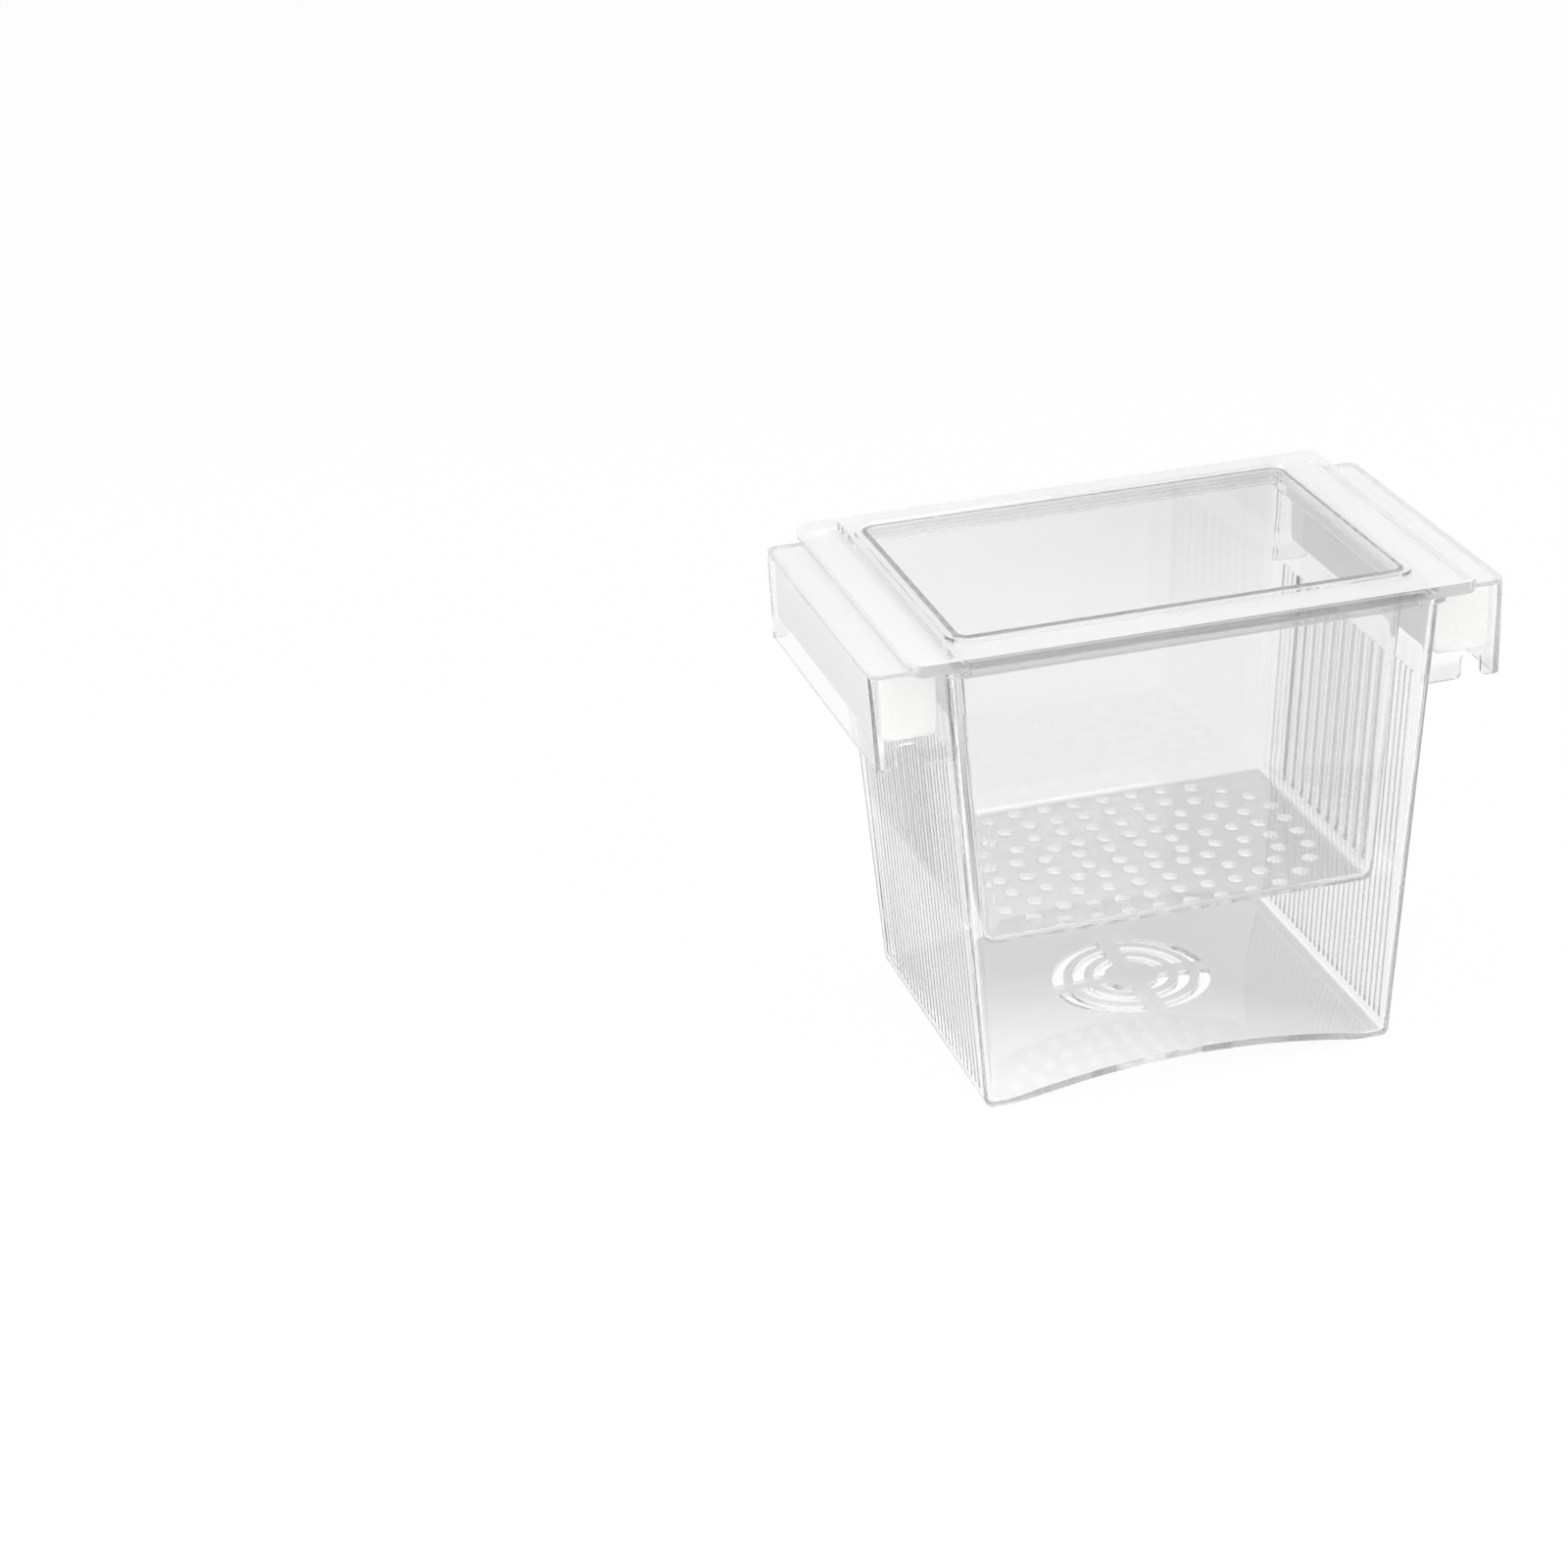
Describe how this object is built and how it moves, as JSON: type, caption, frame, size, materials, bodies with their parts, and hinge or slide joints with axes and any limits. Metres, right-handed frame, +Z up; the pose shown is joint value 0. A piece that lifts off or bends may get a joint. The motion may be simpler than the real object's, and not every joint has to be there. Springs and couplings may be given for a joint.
{
  "type": "fish breeding box",
  "caption": "Clear floating breeding box: a tapered tank with slotted ends, foam floats in side wings, a top frame and a lift-out basket with a perforated floor.",
  "frame": {"origin": "middle of the tank's foot, on the surface that the foot rests on", "axes": "+X towards the right-hand wing, +Y towards the back, +Z up"},
  "size_m": [0.168, 0.105, 0.1312],
  "materials": {
    "box_plastic": "clear, polished mould",
    "frame_plastic": "clear, polished mould",
    "basket_plastic": "clear, polished mould",
    "foam": "closed-cell foam, matt"
  },
  "bodies": {
    "tank": {"outer_box": "box_plastic", "float_left": "foam", "float_right": "foam"},
    "frame": {"top_frame": "frame_plastic"},
    "basket": {"inner_basket": "basket_plastic"}
  },
  "joints": [
    {"name": "frame_lift", "type": "slide", "parent": "tank", "child": "frame", "axis": [0, 0, 1], "range_m": [0, 0.1]},
    {"name": "basket_lift", "type": "slide", "parent": "frame", "child": "basket", "axis": [0, 0, 1], "range_m": [0, 0.1]}
  ]
}
